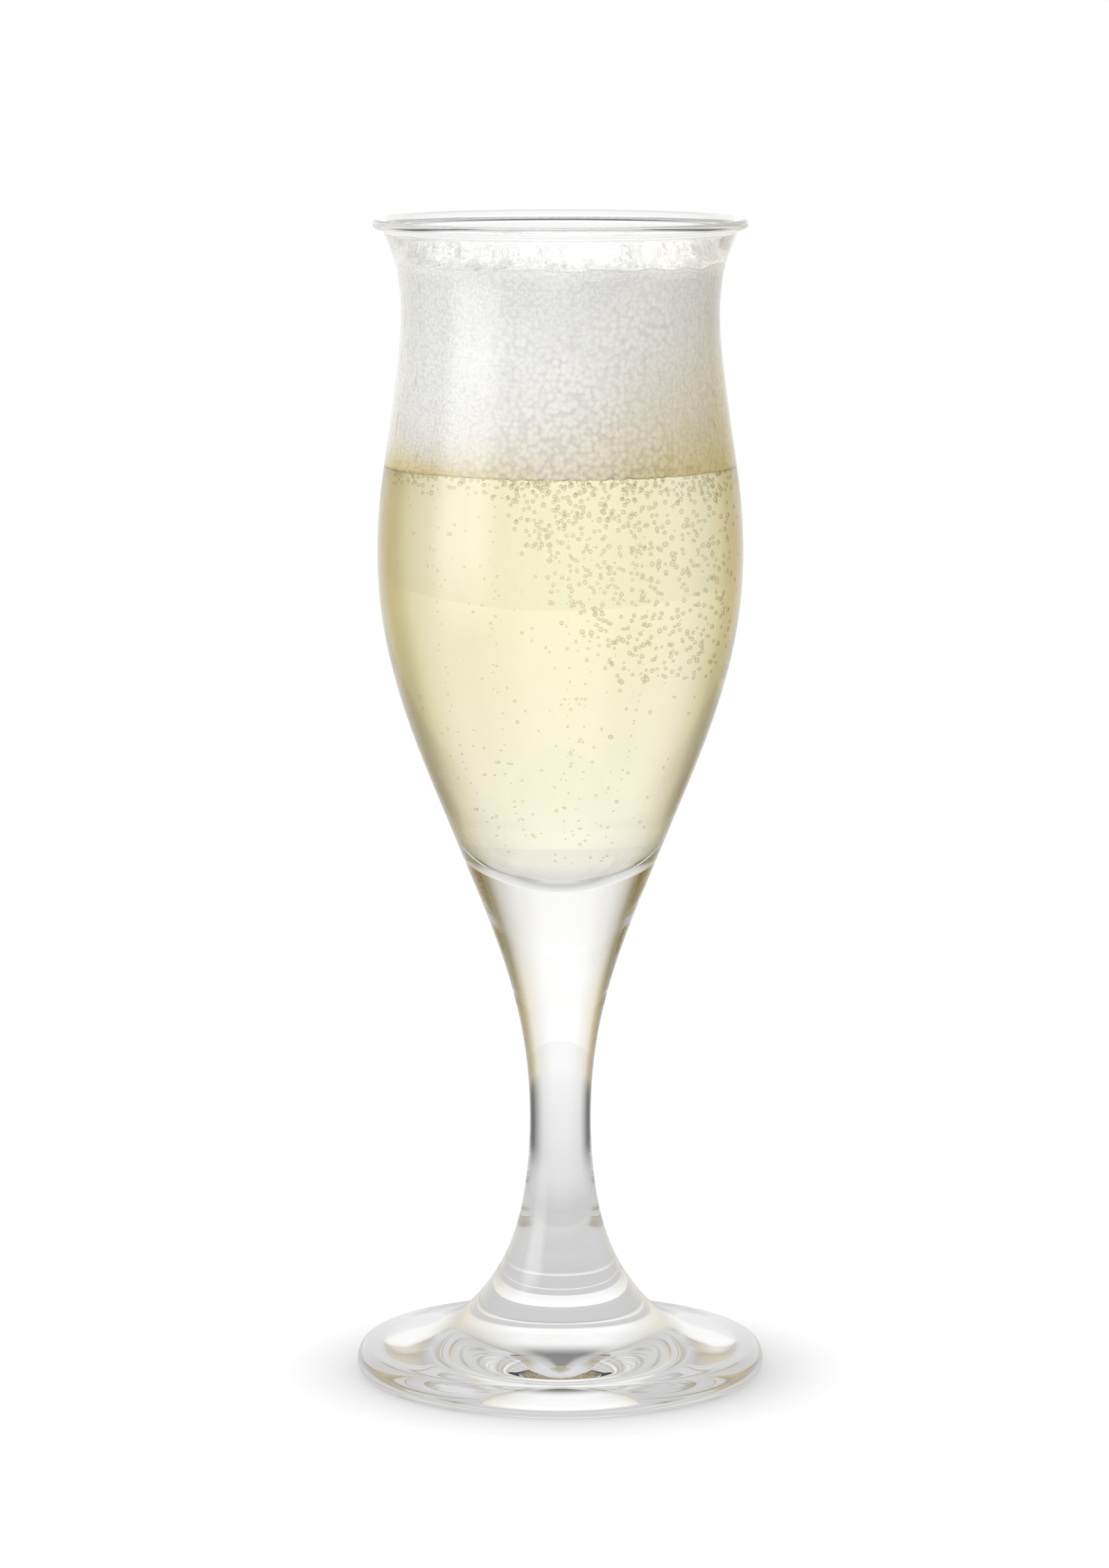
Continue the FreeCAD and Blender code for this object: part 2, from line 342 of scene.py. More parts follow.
# %% Soft panels
def soft_panel(name, place, target, width, height, strength, fade):
    """A glowing panel that points at a target and fades out over a share of its width and height."""
    mesh = bpy.data.meshes.new(name)
    w, h = width / 2, height / 2
    mesh.from_pydata([(-w, -h, 0), (w, -h, 0), (w, h, 0), (-w, h, 0)], [], [(0, 1, 2, 3)])
    material, tree, output = new_material(name)
    spot = add(tree, "ShaderNodeSeparateXYZ", {0: add(tree, "ShaderNodeTexCoord").outputs["Object"]})
    glow = strength
    for axis, reach in (("X", w), ("Y", h)):
        out = maths(tree, "ABSOLUTE", spot.outputs[axis])
        inside = add(tree, "ShaderNodeMapRange", {
            "Value": out, "From Min": reach, "From Max": reach * (1 - fade),
        }, **EASED)
        glow = maths(tree, "MULTIPLY", inside.outputs[0], glow)
    light = add(tree, "ShaderNodeEmission", {"Strength": glow})
    open_frame = add(tree, "ShaderNodeBsdfTransparent")
    both = add(tree, "ShaderNodeAddShader", {0: light.outputs[0], 1: open_frame.outputs[0]})
    tree.links.new(both.outputs[0], output.inputs["Surface"])
    mesh.materials.append(material)
    panel = bpy.data.objects.new(name, mesh)
    panel.location = place
    panel.rotation_euler = (Vector(target) - Vector(place)).to_track_quat("Z", "Y").to_euler()
    panel.visible_camera = False
    panel.visible_transmission = False
    bpy.context.scene.collection.objects.link(panel)
    print(name, width, "x", height, "m")


soft_panel(
    "tall_soft_panel", place=(-0.315, -0.169, 0.208), target=(0, 0, 0.208),
    width=0.37, height=0.48, strength=3.0, fade=0.75,
)
soft_panel(
    "overhead_soft_panel", place=(0.0, 0.1, 0.9), target=(0, 0, 0.12),
    width=0.7, height=0.7, strength=0.35, fade=0.2,
)

# %% [markdown]
# ## The outline of the glass
# The glass is a turned form, so all of its shape is in one outline. The CAD node is a mesh of loose
# triangles with a seam down the +X side, and the seam's vertices lie exactly on that outline. They are
# walked in order, from the hollow under the foot, up the outside, over the rim and down the inside to the
# floor of the bowl, and a smooth curve through them is measured off again in short even steps. The bowl
# is then turned afresh, much more finely than the CAD mesh, because refraction shows every facet.

# %% Read the outline off the seam
NEAR = 1e-6


def seam_outline(node):
    """The (radius, height) points of a turned node's outline, from the lower end of its axis."""
    shape = bmesh.new()
    shape.from_mesh(node.data)
    bmesh.ops.remove_doubles(shape, verts=shape.verts, dist=NEAR)
    seam = {v for v in shape.verts if abs(v.co.y) < NEAR and v.co.x > -NEAR}
    here = min((v for v in seam if v.co.x < NEAR), key=lambda v: v.co.z)
    outline, visited = [], set()
    while here is not None:
        visited.add(here)
        outline.append((max(here.co.x, 0.0), here.co.z))
        others = (e.other_vert(here) for e in here.link_edges)
        onward = [v for v in others if v in seam and v not in visited]
        here = min(onward, key=lambda v: (v.co - end_of(outline)).length) if onward else None
    shape.free()
    return outline


def end_of(outline):
    """The last point of an outline, in the XZ plane."""
    radius, height = outline[-1]
    return Vector((radius, 0, height))


raw_outline = seam_outline(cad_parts["glass"])
print("seam points", len(raw_outline), "first", raw_outline[0], "last", raw_outline[-1])

# %% Smooth the outline and measure it off again
def along(points):
    """The running length at each point of a line."""
    lengths = [0.0]
    for a, b in zip(points, points[1:]):
        lengths.append(lengths[-1] + math.dist(a, b))
    return lengths


def smooth_point(points, lengths, i, share):
    """A point between points i and i + 1, on the cubic curve whose slopes come from the neighbours."""
    last = len(points) - 1

    def slope(k):
        before, after = max(k - 1, 0), min(k + 1, last)
        span = lengths[after] - lengths[before]
        return [(b - a) / span for a, b in zip(points[before], points[after])]

    step = lengths[i + 1] - lengths[i]
    weights = (2 * share**3 - 3 * share**2 + 1, share**3 - 2 * share**2 + share)
    weights += (3 * share**2 - 2 * share**3, share**3 - share**2)
    start, end, leave, arrive = points[i], points[i + 1], slope(i), slope(i + 1)
    return tuple(
        weights[0] * start[k] + weights[1] * step * leave[k]
        + weights[2] * end[k] + weights[3] * step * arrive[k]
        for k in range(2)
    )


MOST_PARTS = 3


def measured_off(points, longest, finest):
    """The curve through points in short steps: no longer than longest, and shorter where the points crowd."""
    lengths = along(points)
    result = [points[0]]
    for i in range(len(points) - 1):
        step = lengths[i + 1] - lengths[i]
        parts = max(1, math.ceil(step / longest), min(MOST_PARTS, math.ceil(step / finest)))
        result += [smooth_point(points, lengths, i, k / parts) for k in range(1, parts + 1)]
    return result


OUTLINE_STEP = 1.0 * MM
OUTLINE_FINEST = 0.3 * MM
glass_outline = measured_off(raw_outline, OUTLINE_STEP, OUTLINE_FINEST)
glass_outline = [(radius, max(height, 0.0)) for radius, height in glass_outline]
glass_outline[0] = (0.0, glass_outline[0][1])
glass_outline[-1] = (0.0, glass_outline[-1][1])
print("outline points", len(glass_outline), "length mm", round(along(glass_outline)[-1] / MM, 1))

# %% [markdown]
# ## Turning an outline
# A Screw modifier or Spin could turn the outline. Geometry Nodes are used instead, as one tree then turns
# the glass, the wine and the foam with its own number of columns: a flat grid has one row for each
# outline point, looks up that point, and swings it round the axis. Merging closes the seam and both
# poles.

# %% A lathe in Geometry Nodes
def new_tree(name, sizes):
    """A geometry tree that takes a mesh and named sizes. Returns it with its input and output nodes."""
    tree = bpy.data.node_groups.new(name, "GeometryNodeTree")
    tree.interface.new_socket("Geometry", in_out="INPUT", socket_type="NodeSocketGeometry")
    for label, kind, value in sizes:
        socket = tree.interface.new_socket(label, in_out="INPUT", socket_type=kind)
        if value is not None:
            socket.default_value = value
    tree.interface.new_socket("Geometry", in_out="OUTPUT", socket_type="NodeSocketGeometry")
    return tree, add(tree, "NodeGroupInput"), add(tree, "NodeGroupOutput")


def finish_tree(tree, inputs, output, geometry):
    """End a tree: real mesh in place of instances, smooth shading, and the material."""
    real = add(tree, "GeometryNodeRealizeInstances", {"Geometry": geometry})
    smooth = add(tree, "GeometryNodeSetShadeSmooth", {"Geometry": real.outputs[0]})
    painted = add(tree, "GeometryNodeSetMaterial", {
        "Geometry": smooth.outputs[0], "Material": inputs.outputs["Material"],
    })
    tree.links.new(painted.outputs[0], output.inputs[0])


def grown(name, mesh, tree, **sizes):
    """A plain mesh object: what a tree makes of a mesh, with the tree's sizes given by name."""
    source = bpy.data.objects.new(name + "_source", mesh)
    bpy.context.scene.collection.objects.link(source)
    modifier = source.modifiers.new("grow", "NODES")
    modifier.node_group = tree
    for item in tree.interface.items_tree:
        if item.item_type == "SOCKET" and item.in_out == "INPUT" and item.name in sizes:
            modifier[item.identifier] = sizes[item.name]
    source.update_tag()
    bpy.context.view_layer.update()
    evaluated = source.evaluated_get(bpy.context.evaluated_depsgraph_get())
    result = bpy.data.meshes.new_from_object(evaluated)
    result.name = name
    bpy.data.objects.remove(source)
    piece = bpy.data.objects.new(name, result)
    bpy.context.scene.collection.objects.link(piece)
    print(name, len(result.polygons), "faces")
    return piece


lathe, sizes, output = new_tree("lathe", [
    ("Columns", "NodeSocketInt", 160), ("Material", "NodeSocketMaterial", None),
])
rows = add(lathe, "GeometryNodeAttributeDomainSize", {"Geometry": sizes.outputs["Geometry"]})
posts = maths(lathe, "ADD", sizes.outputs["Columns"], 1.0)
sheet = add(lathe, "GeometryNodeMeshGrid", {
    "Size X": 1.0, "Size Y": 1.0, "Vertices X": posts, "Vertices Y": rows.outputs["Point Count"],
})
place = add(lathe, "ShaderNodeSeparateXYZ", {0: add(lathe, "GeometryNodeInputPosition").outputs[0]})
turn = maths(lathe, "ADD", place.outputs["X"], 0.5)
angle = maths(lathe, "MULTIPLY", turn, 2 * math.pi)
rise = maths(lathe, "ADD", place.outputs["Y"], 0.5)
last_row = maths(lathe, "SUBTRACT", rows.outputs["Point Count"], 1.0)
row = maths(lathe, "MULTIPLY", rise, last_row)
whole = maths(lathe, "ROUND", row)
point = add(lathe, "GeometryNodeSampleIndex", {
    "Geometry": sizes.outputs["Geometry"], "Index": whole,
}, data_type="FLOAT_VECTOR", domain="POINT")
lathe.links.new(add(lathe, "GeometryNodeInputPosition").outputs[0], point.inputs["Value"])
swung = add(lathe, "ShaderNodeVectorRotate", {
    "Vector": point.outputs["Value"], "Angle": angle,
}, rotation_type="Z_AXIS")
formed = add(lathe, "GeometryNodeSetPosition", {
    "Geometry": sheet.outputs["Mesh"], "Position": swung.outputs[0],
})
closed = add(lathe, "GeometryNodeMergeByDistance", {"Geometry": formed.outputs[0], "Distance": NEAR})
finish_tree(lathe, sizes, output, closed.outputs[0])


def outline_mesh(name, outline):
    """An outline as a mesh of bare points in the XZ plane, in order, which the lathe looks up."""
    mesh = bpy.data.meshes.new(name)
    mesh.from_pydata([(radius, 0, height) for radius, height in outline], [], [])
    return mesh


def facing_out(piece):
    """Turn a closed piece's faces outwards."""
    shape = bmesh.new()
    shape.from_mesh(piece.data)
    bmesh.ops.recalc_face_normals(shape, faces=shape.faces)
    open_edges = sum(1 for e in shape.edges if not e.is_manifold)
    print(piece.name, "volume ml", round(shape.calc_volume(signed=True) * 1e6, 2), "open edges", open_edges)
    shape.to_mesh(piece.data)
    shape.free()
    return piece


def turned(name, outline, columns, material):
    """A closed turned piece with its faces outwards."""
    return facing_out(grown(name, outline_mesh(name, outline), lathe, Columns=columns, Material=material))

# %% [markdown]
# ## The glass
# Soda-lime glass, blown and fire-polished, so its skin is as smooth as the melt left it. What keeps it
# from looking like a perfect computer shape is a trace of the drawing: long, shallow waves that run along
# the bowl and the stem. They are far finer than the outline and only bend the highlights. Its refractive
# index is 1.5, and it takes no colour from the light.

# %% Glass material
GLASS_IOR = 1.5
STRIA_SPACING = 9.0 * MM
STRIA_DEPTH = 0.03 * MM
STRIA_DRAWN = (1, 1, 0.12)
POLISH_LEAST, POLISH_MOST = 0.0, 0.012
material, tree, output = new_material("clear_fire_polished_glass")
where = add(tree, "ShaderNodeTexCoord")
drawn = add(tree, "ShaderNodeMapping", {"Vector": where.outputs["Object"], "Scale": STRIA_DRAWN})
striae = add(tree, "ShaderNodeTexNoise", {
    "Vector": drawn.outputs[0], "Scale": 1 / STRIA_SPACING, "Detail": 1.0, "Roughness": 0.4,
})
waves = add(tree, "ShaderNodeBump", {
    "Height": striae.outputs["Fac"], "Strength": 0.35, "Distance": STRIA_DEPTH,
})
polish = add(tree, "ShaderNodeMapRange", {
    "Value": striae.outputs["Fac"], "To Min": POLISH_LEAST, "To Max": POLISH_MOST,
})
clear = add(tree, "ShaderNodeBsdfPrincipled", {
    "Base Color": (1, 1, 1, 1), "Transmission Weight": 1.0, "IOR": GLASS_IOR,
    "Roughness": polish.outputs[0], "Normal": waves.outputs[0],
})
tree.links.new(clear.outputs[0], output.inputs["Surface"])
clear_glass = material
print(material.name, "index", GLASS_IOR)

# %% Turn the glass
GLASS_COLUMNS = 160
glass = turned("tulip_glass", glass_outline, GLASS_COLUMNS, clear_glass)
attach(glass, "root")
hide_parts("glass")

# %% [markdown]
# ## The wine
# The wine fills the bowl up to the foam. If its mesh stopped exactly at the wall, a film of air could
# show there, so it reaches a twentieth of a millimetre into the glass. The renderer then bends light at
# the wine's skin and at the glass's inner skin one after the other, which together is the bend from glass
# to wine. The colour is a true absorption: the longer the way through the wine, the more straw-yellow the
# light.

# %% Outlines inside the bowl
REACH = 0.05 * MM
wine_bottom, wine_top = (corner.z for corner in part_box("wine"))
foam_bottom, foam_top = (corner.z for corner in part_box("foam"))


def inner_wall(outline):
    """The bowl's inside, from the floor on the axis up to the rim: the outline's end, reversed."""
    rim = max(range(len(outline)), key=lambda i: outline[i][1])
    return outline[:rim - 1:-1]


def into_wall(points, depth):
    """The same line moved outwards by depth."""
    moved = []
    for i, (radius, height) in enumerate(points):
        before, after = points[max(i - 1, 0)], points[min(i + 1, len(points) - 1)]
        along_r, along_z = after[0] - before[0], after[1] - before[1]
        length = math.hypot(along_r, along_z)
        moved.append((max(radius + depth * along_z / length, 0.0), height - depth * along_r / length))
    moved[0] = (0.0, points[0][1] - depth)
    return moved


def radius_at(points, height):
    """The radius of a rising line at a height."""
    for (r0, z0), (r1, z1) in zip(points, points[1:]):
        if z0 <= height <= z1:
            return r0 + (r1 - r0) * (height - z0) / (z1 - z0)
    raise ValueError(f"no wall at {height}")


wall = inner_wall(glass_outline)
print("wall from", wall[0], "to", wall[-1], "wine mm", round(wine_bottom / MM, 2), round(wine_top / MM, 2))

# %% Wine material
WINE_IOR = 1.343
WINE_TINT = "#faf07c"
WINE_STRENGTH = 9.6
STIR_SPACING, STIR_DEPTH = 12 * MM, 0.02 * MM
material, tree, output = new_material("pale_sparkling_wine")
where = add(tree, "ShaderNodeTexCoord")
currents = add(tree, "ShaderNodeTexNoise", {
    "Vector": where.outputs["Object"], "Scale": 1 / STIR_SPACING, "Detail": 0.0,
})
stir = add(tree, "ShaderNodeBump", {
    "Height": currents.outputs["Fac"], "Strength": 0.2, "Distance": STIR_DEPTH,
})
still = add(tree, "ShaderNodeMapRange", {"Value": currents.outputs["Fac"], "To Min": 0.0, "To Max": 0.01})
liquid = add(tree, "ShaderNodeBsdfPrincipled", {
    "Base Color": (1, 1, 1, 1), "Transmission Weight": 1.0, "IOR": WINE_IOR,
    "Roughness": still.outputs[0], "Normal": stir.outputs[0],
})
tint = add(tree, "ShaderNodeVolumeAbsorption", {"Color": srgb(WINE_TINT), "Density": WINE_STRENGTH})
tree.links.new(liquid.outputs[0], output.inputs["Surface"])
tree.links.new(tint.outputs[0], output.inputs["Volume"])
sparkling_wine = material
print(material.name, "index", WINE_IOR, "tint", WINE_TINT)

# %% Fill the bowl with wine
WINE_COLUMNS = 144
BRIM_CLEAR = 0.1 * MM
WINE_RINGS = (0.98, 0.75, 0.5, 0.25, 0.0)
wet_wall = into_wall(wall, REACH)
brim = radius_at(wet_wall, wine_top)
wine_side = [(radius, height) for radius, height in wet_wall if height < wine_top - BRIM_CLEAR]
wine_surface = [(brim * share, wine_top) for share in (1.0, *WINE_RINGS)]
wine = turned("sparkling_wine", wine_side + wine_surface, WINE_COLUMNS, sparkling_wine)
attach(wine, "root")
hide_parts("wine")

# %% [markdown]
# ## The foam
# A head of foam is thousands of bubbles that press on each other and on the glass. Each one shows as a
# small dome with a darker seam round it. Coarse ones, over 1 mm across, lie low in the middle, and
# towards the top the foam gets so fine that it looks like cream. A bump map alone would vanish at the
# edge and in the mesh, so the domes are real relief: a Voronoi pattern gives every point its distance
# from the nearest bubble's centre, and the foam's skin is pushed out by a dome of that. The material
# repeats the same pattern to paint shade into the seams, a little darker and crisper than the mesh could
# show. The rule is written once, for both kinds of tree.

# %% The rule of the domes
COARSE_BUBBLE = 1.05 * MM
FINE_BUBBLE = 0.62 * MM
FINE_DEPTH = 0.55
FINE_FROM_HEIGHT = 0.9
LEFT_FINE_FROM, LEFT_FINE_TO = -3 * MM, -17 * MM
RIGHT_FINE_FROM, RIGHT_FINE_TO, RIGHT_FINE_MOST = 15 * MM, 28 * MM, 0.5
DOME_FOOT = 0.6
DOME_WANDER = 14 * MM
WANDER_GAIN, WANDER_SHIFT = 2.0, -1.15


def domes(tree, place, size):
    """The height of round domes of one size, from 0 in their seams to 1."""
    cells = add(tree, "ShaderNodeTexVoronoi", {"Vector": place, "Scale": 1 / size, "Randomness": 0.8})
    square = maths(tree, "POWER", cells.outputs["Distance"], 2.0)
    dome = add(tree, "ShaderNodeMapRange", {
        "Value": square, "From Max": DOME_FOOT, "To Min": 1.0, "To Max": 0.0,
    })
    return dome.outputs[0]


def froth(tree, place):
    """Domes that are coarse low in the middle and fine towards the top and the sides."""
    parts = add(tree, "ShaderNodeSeparateXYZ", {0: place})
    all_fine = foam_bottom + FINE_FROM_HEIGHT * (foam_top - foam_bottom)
    up = add(tree, "ShaderNodeMapRange", {
        "Value": parts.outputs["Z"], "From Min": foam_bottom, "From Max": all_fine,
    })
    left = add(tree, "ShaderNodeMapRange", {
        "Value": parts.outputs["X"], "From Min": LEFT_FINE_FROM, "From Max": LEFT_FINE_TO,
    })
    right = add(tree, "ShaderNodeMapRange", {
        "Value": parts.outputs["X"], "From Min": RIGHT_FINE_FROM, "From Max": RIGHT_FINE_TO,
        "To Max": RIGHT_FINE_MOST,
    })
    outer = maths(tree, "ADD", left.outputs[0], right.outputs[0])
    wander = add(tree, "ShaderNodeTexNoise", {"Vector": place, "Scale": 1 / DOME_WANDER, "Detail": 1.0})
    uneven = maths(tree, "MULTIPLY_ADD", wander.outputs["Fac"], WANDER_GAIN, WANDER_SHIFT)
    both = maths(tree, "ADD", up.outputs[0], outer)
    fine_share = maths(tree, "ADD", both, uneven, use_clamp=True)
    low = maths(tree, "MULTIPLY", domes(tree, place, FINE_BUBBLE), FINE_DEPTH)
    return add(tree, "ShaderNodeMix", {
        0: fine_share, 2: domes(tree, place, COARSE_BUBBLE), 3: low,
    }).outputs[0]

# %% Foam relief in Geometry Nodes
DOME_DEPTH = 0.28 * MM
TORN_DEPTH, TORN_REACH, TORN_SPACING = 2.4 * MM, 3 * MM, 4 * MM
foam_tree, sizes, output = new_tree("foam_domes", [
    ("Depth", "NodeSocketFloat", DOME_DEPTH), ("Raggedness", "NodeSocketFloat", TORN_DEPTH),
    ("Top", "NodeSocketFloat", 0.0), ("Material", "NodeSocketMaterial", None),
])
here = add(foam_tree, "GeometryNodeInputPosition").outputs[0]
push = maths(foam_tree, "MULTIPLY", froth(foam_tree, here), sizes.outputs["Depth"])
outward = add(foam_tree, "ShaderNodeVectorMath", {
    0: add(foam_tree, "GeometryNodeInputNormal").outputs[0], "Scale": push,
}, operation="SCALE")
parts = add(foam_tree, "ShaderNodeSeparateXYZ", {0: here})
below = maths(foam_tree, "SUBTRACT", sizes.outputs["Top"], TORN_REACH)
near_top = add(foam_tree, "ShaderNodeMapRange", {
    "Value": parts.outputs["Z"], "From Min": below, "From Max": sizes.outputs["Top"],
}, **EASED)
ragged = add(foam_tree, "ShaderNodeTexNoise", {"Vector": here, "Scale": 1 / TORN_SPACING, "Detail": 3.0})
torn = maths(foam_tree, "MULTIPLY", ragged.outputs["Fac"], near_top.outputs[0])
drop = maths(foam_tree, "MULTIPLY", torn, sizes.outputs["Raggedness"])
fall = maths(foam_tree, "MULTIPLY", drop, -1.0)
sink = add(foam_tree, "ShaderNodeCombineXYZ", {"Z": fall})
moved = add(foam_tree, "ShaderNodeVectorMath", {0: outward.outputs[0], 1: sink.outputs[0]})
raised = add(foam_tree, "GeometryNodeSetPosition", {
    "Geometry": sizes.outputs["Geometry"], "Offset": moved.outputs[0],
})
finish_tree(foam_tree, sizes, output, raised.outputs[0])
print("foam tree nodes", len(foam_tree.nodes))

# %% [markdown]
# ## What colours the foam
# Low in the foam, wine still runs between the bubbles, so it is straw-coloured there. This wet band is
# thin at the left and deep at the right, and fades out upwards. Its seams are painted darker than its
# domes, as shade. Close to the two sides of the glass, wet streaks run down the wall. Along the top edge
# against the glass a painted glow stands in for light that comes through, and the top face away from the
# wall is painted a little darker as shade.

# %% The wet band of the foam
FOAM_DRY, FOAM_WET = "#fbfbfa", "#e9d698"
WET_LEFT, WET_RIGHT = -16 * MM, 24 * MM
WET_LEAST, WET_MOST = 3.0 * MM, 15.5 * MM
MIDDLE, ASIDE, MIDDLE_WETNESS = 4 * MM, 22 * MM, 0.48
PATCH_SPACING, PATCH_LEAST, PATCH_MOST = 3 * MM, 0.7, 1.3
material, tree, output = new_material("wet_white_foam")
where = add(tree, "ShaderNodeTexCoord").outputs["Object"]
parts = add(tree, "ShaderNodeSeparateXYZ", {0: where})
wet_reach = add(tree, "ShaderNodeMapRange", {
    "Value": parts.outputs["X"], "From Min": WET_LEFT, "From Max": WET_RIGHT,
    "To Min": WET_LEAST, "To Max": WET_MOST,
})
above = maths(tree, "SUBTRACT", foam_bottom, parts.outputs["Z"])
level = maths(tree, "DIVIDE", above, wet_reach.outputs[0])
drained = maths(tree, "EXPONENT", level)
aside = maths(tree, "ABSOLUTE", parts.outputs["X"])
at_sides = add(tree, "ShaderNodeMapRange", {
    "Value": aside, "From Min": MIDDLE, "From Max": ASIDE, "To Min": MIDDLE_WETNESS,
})
patchy = add(tree, "ShaderNodeTexNoise", {"Vector": where, "Scale": 1 / PATCH_SPACING, "Detail": 2.0})
patches = add(tree, "ShaderNodeMapRange", {
    "Value": patchy.outputs["Fac"], "To Min": PATCH_LEAST, "To Max": PATCH_MOST,
})
wet_side = maths(tree, "MULTIPLY", drained, at_sides.outputs[0])
wetness = maths(tree, "MULTIPLY", wet_side, patches.outputs[0], use_clamp=True)
tone = add(tree, "ShaderNodeMix", {
    0: wetness, 6: srgb(FOAM_DRY), 7: srgb(FOAM_WET),
}, data_type="RGBA")
print(material.name, FOAM_DRY, "to", FOAM_WET)

# %% Seams and streaks of the foam
SEAM_SHADE, SEAM_TO = 0.84, 0.7
STREAK_SPACING, STREAK_DRAWN = 1.3 * MM, (1, 1, 0.22)
STREAK_FROM, STREAK_TO = 0.60, 0.74
SIDE_FROM, SIDE_TO, SIDE_SHADE = 19 * MM, 25 * MM, 0.22
relief = froth(tree, where)
# Painted shade: the seams between the bubbles are darkened in the colour.
seam = add(tree, "ShaderNodeMapRange", {"Value": relief, "From Max": SEAM_TO, "To Min": SEAM_SHADE})
wall_streaks = add(tree, "ShaderNodeMapping", {"Vector": where, "Scale": STREAK_DRAWN})
streak = add(tree, "ShaderNodeTexNoise", {
    "Vector": wall_streaks.outputs[0], "Scale": 1 / STREAK_SPACING, "Detail": 2.0,
})
wet_streak = add(tree, "ShaderNodeMapRange", {
    "Value": streak.outputs["Fac"], "From Min": STREAK_FROM, "From Max": STREAK_TO,
})
by_side = add(tree, "ShaderNodeMapRange", {
    "Value": aside, "From Min": SIDE_FROM, "From Max": SIDE_TO, "To Max": SIDE_SHADE,
}, **EASED)
streaked = maths(tree, "MULTIPLY", wet_streak.outputs[0], by_side.outputs[0])
print("seams", SEAM_SHADE, "streaks", SIDE_SHADE)

# %% Top and edge of the foam
EDGE_GLOW, TOP_SHADE = 0.10, 0.04
WALL_FROM, WALL_TO = 0.97, 0.99
TOP_FROM, TOP_TO = 4.0 * MM, 1.5 * MM
RIM_BELOW = 1 * MM
rim_radius = radius_at(wall, foam_top - RIM_BELOW)
flat = add(tree, "ShaderNodeVectorMath", {0: where, 1: (1, 1, 0)}, operation="MULTIPLY")
from_axis = add(tree, "ShaderNodeVectorMath", {0: flat.outputs[0]}, operation="LENGTH")
at_wall = add(tree, "ShaderNodeMapRange", {
    "Value": from_axis.outputs["Value"], "From Min": WALL_FROM * rim_radius, "From Max": WALL_TO * rim_radius,
})
at_top = add(tree, "ShaderNodeMapRange", {
    "Value": parts.outputs["Z"], "From Min": foam_top - TOP_FROM, "From Max": foam_top - TOP_TO,
}, **EASED)
edge = maths(tree, "MULTIPLY", at_wall.outputs[0], at_top.outputs[0])
# Painted light: a faint white glow along the top edge against the glass.
through = maths(tree, "MULTIPLY", edge, EDGE_GLOW)
# Painted shade on the top face away from the wall, with the real wet streaks added to it.
surface = maths(tree, "SUBTRACT", at_top.outputs[0], edge)
top_shade_and_streaks = maths(tree, "MULTIPLY_ADD", surface, TOP_SHADE, streaked)
kept = maths(tree, "SUBTRACT", seam.outputs[0], top_shade_and_streaks)
shaded = add(tree, "ShaderNodeVectorMath", {0: tone.outputs[2], "Scale": kept}, operation="SCALE")
print("rim radius of the foam mm", round(rim_radius / MM, 2))

# %% Skin of the foam
FILM_BUBBLE = 0.42 * MM
DOME_BUMP, FILM_BUMP = 0.3 * MM, 0.12 * MM
FILM_SHEEN = (0.3, 0.6)
FOAM_IOR = 1.33
film = add(tree, "ShaderNodeTexVoronoi", {"Vector": where, "Scale": 1 / FILM_BUBBLE})
dome_bump = add(tree, "ShaderNodeBump", {"Height": relief, "Strength": 0.8, "Distance": DOME_BUMP})
film_bump = add(tree, "ShaderNodeBump", {
    "Height": film.outputs["Distance"], "Strength": 0.35, "Distance": FILM_BUMP,
    "Normal": dome_bump.outputs[0],
}, invert=True)
sheen = add(tree, "ShaderNodeMapRange", {
    "Value": film.outputs["Distance"], "To Min": FILM_SHEEN[0], "To Max": FILM_SHEEN[1],
})
foam_skin = add(tree, "ShaderNodeBsdfPrincipled", {
    "Base Color": shaded.outputs[0], "Roughness": sheen.outputs[0], "IOR": FOAM_IOR,
    "Normal": film_bump.outputs[0],
    "Emission Color": srgb("#ffffff"), "Emission Strength": through,
})
tree.links.new(foam_skin.outputs[0], output.inputs["Surface"])
white_foam = material
print(material.name, "nodes", len(tree.nodes))

# %% [markdown]
# ## The body of the foam
# The foam is turned like the wine, from its own outline: a bottom that sinks a little into the wine, a
# side that reaches just into the wall, and a top with a low crown. The columns and rows are close enough
# for the domes. The relief is then applied to the turned mesh, which leaves one closed mesh.

# %% Build the foam
FOAM_SINK = 0.30 * MM
FOAM_REACH = 0.04 * MM
FOAM_COLUMNS = 560
FOAM_STEP = 0.32 * MM
BOTTOM_RINGS = (0.0, 0.25, 0.5, 0.75, 0.9, 0.97, 0.99)
TOP_BELOW, TOP_CROWN, CROWN_RINGS = 0.45 * MM, 0.40 * MM, 3
TOP_RINGS, TOP_CROWDING = 34, 1.2
SPARE = 2 * MM
skin = [p for p in into_wall(wall, FOAM_REACH) if foam_bottom - SPARE < p[1] < foam_top + SPARE]
foam_rows = math.ceil((foam_top - foam_bottom) / FOAM_STEP)
foam_low, foam_high = foam_bottom - FOAM_SINK, foam_top - TOP_BELOW
side = []
for i in range(foam_rows + 1):
    height = foam_low + (foam_high - foam_low) * i / foam_rows
    side.append((radius_at(skin, height), height))
bottom_face = [(side[0][0] * share, foam_low) for share in BOTTOM_RINGS]
top_face = []
for k in range(1, TOP_RINGS + 1):
    share = 1 - (k / TOP_RINGS) ** TOP_CROWDING
    top_face.append((side[-1][0] * share, foam_high + TOP_CROWN * min(k / CROWN_RINGS, 1)))
top_face[-1] = (0.0, top_face[-1][1])
plain_foam = turned("foam_plain", bottom_face + side + top_face, FOAM_COLUMNS, white_foam)
foam = grown("foam_head", plain_foam.data, foam_tree, Top=foam_top, Material=white_foam)
bpy.data.objects.remove(plain_foam)
facing_out(foam)
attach(foam, "root")
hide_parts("foam")
